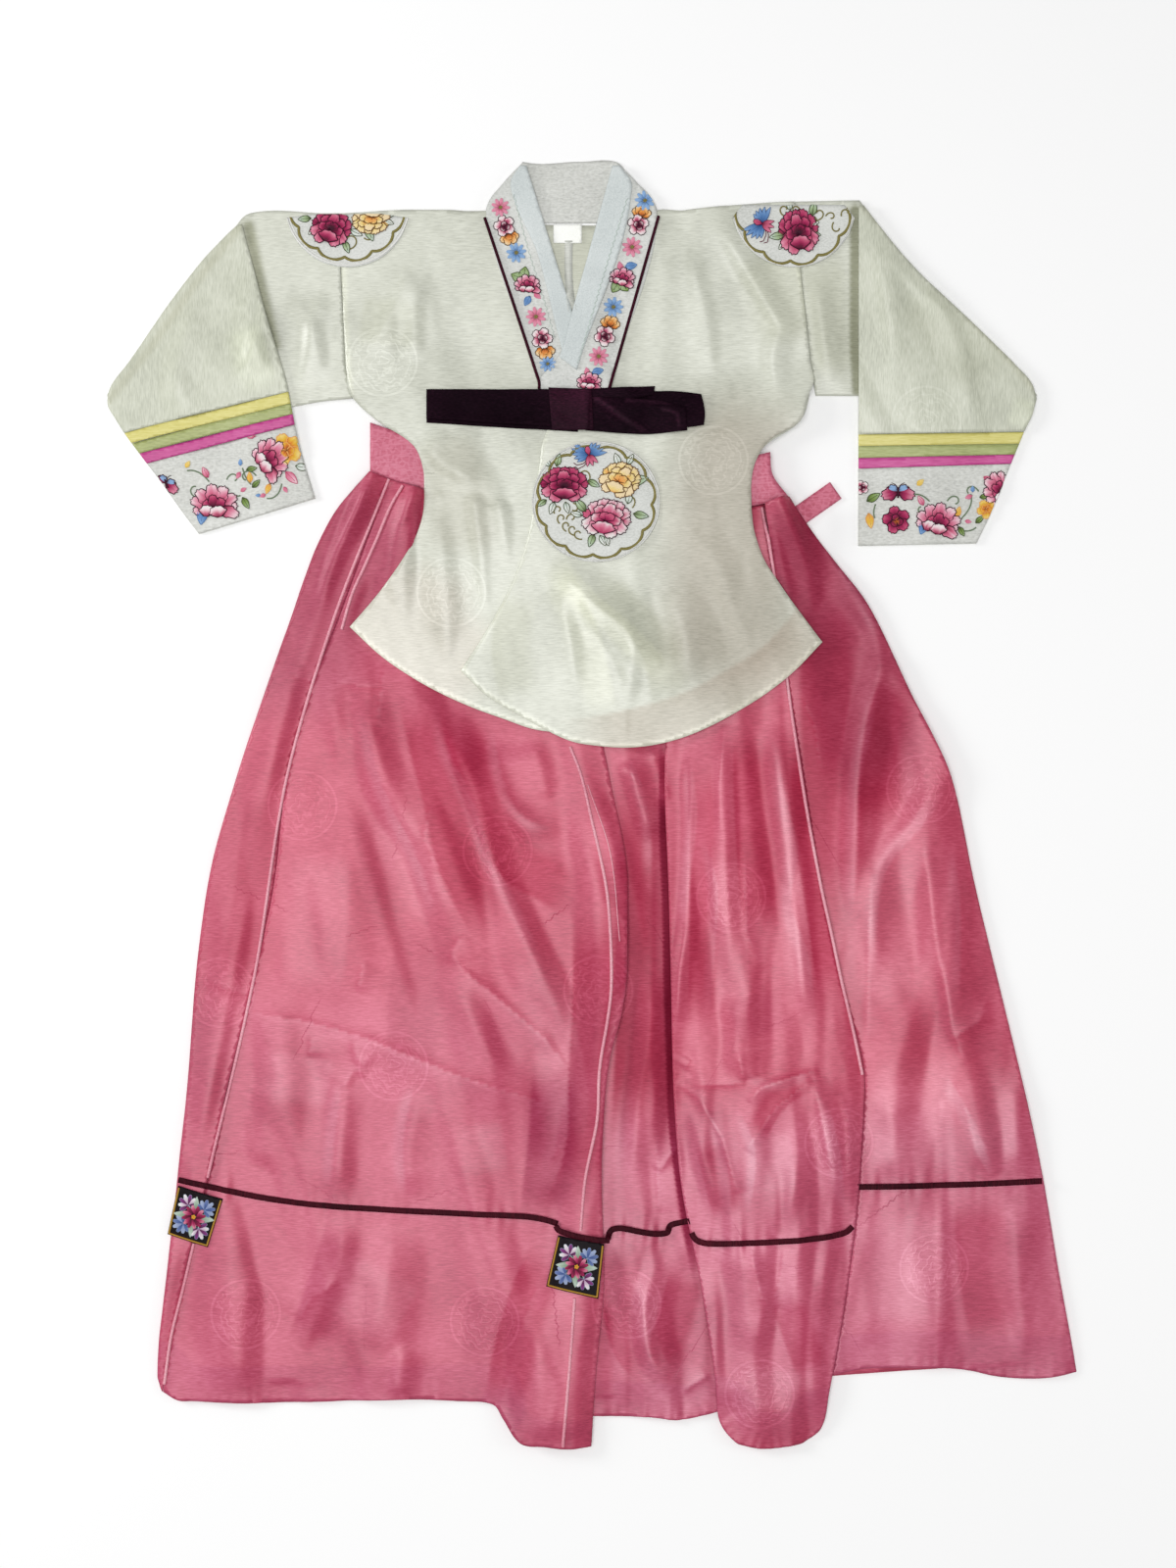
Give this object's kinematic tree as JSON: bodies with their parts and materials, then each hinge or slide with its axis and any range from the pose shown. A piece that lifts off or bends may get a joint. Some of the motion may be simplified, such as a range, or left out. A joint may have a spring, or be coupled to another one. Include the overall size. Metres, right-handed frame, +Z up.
{
  "type": "child's korean hanbok, jacket and skirt laid flat",
  "caption": "Child's hanbok set laid flat: a long-cut side-slit jacket with crossed collar, folded sleeves and tied bow over a full gathered skirt with a ribbon-trimmed hem band.",
  "frame": {"origin": "On the floor that the set lies on, at the middle of its width and of its length.", "axes": "+Z up from the floor, out of the front of the garment; +Y along its length, towards the collar; +X across it, towards the wearer's left sleeve."},
  "size_m": [0.8199, 1.0879, 0.0168],
  "materials": {
    "skirt_cloth": "watermelon-pink satin organza with tone-on-tone woven roundels, soft sheen",
    "band_cloth": "pink woven brocade, soft sheen",
    "jacket_cloth": "ivory satin brocade with a faint green tint and woven roundels",
    "collar_cloth": "white satin brocade, embroidered in coloured silks",
    "collar_strip": "stiff pale blue-white cloth strip, matt",
    "bow_cloth": "dark aubergine satin",
    "ribbon_cloth": "dark maroon flat ribbon and piping",
    "stripe_yellow": "soft yellow satin",
    "stripe_green": "sage green satin",
    "stripe_magenta": "bright magenta satin",
    "patch_cloth": "black cloth embroidered with flowers and a gold cord edge",
    "label_cloth": "plain off-white woven label"
  },
  "bodies": {
    "root": {"skirt_back": "skirt_cloth", "skirt_left_side": "skirt_cloth", "skirt_left": "skirt_cloth", "skirt_centre": "skirt_cloth", "skirt_right_side": "skirt_cloth", "skirt_pleat": "skirt_cloth", "skirt_fold": "skirt_cloth", "tie_strap": "band_cloth", "waistband_back": "band_cloth", "waistband_front": "band_cloth", "sleeve_left_upper_back": "jacket_cloth", "sleeve_left_upper_front": "jacket_cloth", "sleeve_left_lower_under": "jacket_cloth", "sleeve_left_lower": "jacket_cloth", "sleeve_right_upper_back": "jacket_cloth", "sleeve_right_upper_front": "jacket_cloth", "sleeve_right_lower_under": "jacket_cloth", "sleeve_right_lower": "jacket_cloth", "jacket_back": "jacket_cloth", "jacket_front_left": "jacket_cloth", "jacket_front_right": "jacket_cloth", "cuff_left": "collar_cloth", "cuff_right": "collar_cloth", "collar_back": "collar_cloth", "collar_left": "collar_cloth", "collar_right": "collar_cloth", "medallion_chest": "collar_cloth", "medallion_left": "collar_cloth", "medallion_right": "collar_cloth", "collar_strip_left": "collar_strip", "collar_strip_right": "collar_strip", "bow_loop_under": "bow_cloth", "bow_loop_over": "bow_cloth", "bow_tail_under": "bow_cloth", "bow_loop_right": "bow_cloth", "bow_tail_over": "bow_cloth", "bow_knot": "bow_cloth", "ribbon_left": "ribbon_cloth", "ribbon_pleat": "ribbon_cloth", "ribbon_centre": "ribbon_cloth", "ribbon_tuck": "ribbon_cloth", "ribbon_fold": "ribbon_cloth", "ribbon_right": "ribbon_cloth", "piping_left": "ribbon_cloth", "piping_right": "ribbon_cloth", "stripe_left_yellow": "stripe_yellow", "stripe_right_yellow": "stripe_yellow", "stripe_left_green": "stripe_green", "stripe_right_green": "stripe_green", "stripe_left_magenta": "stripe_magenta", "stripe_right_magenta": "stripe_magenta", "patch_left": "patch_cloth", "patch_pleat": "patch_cloth", "label": "label_cloth"}
  },
  "joints": []
}
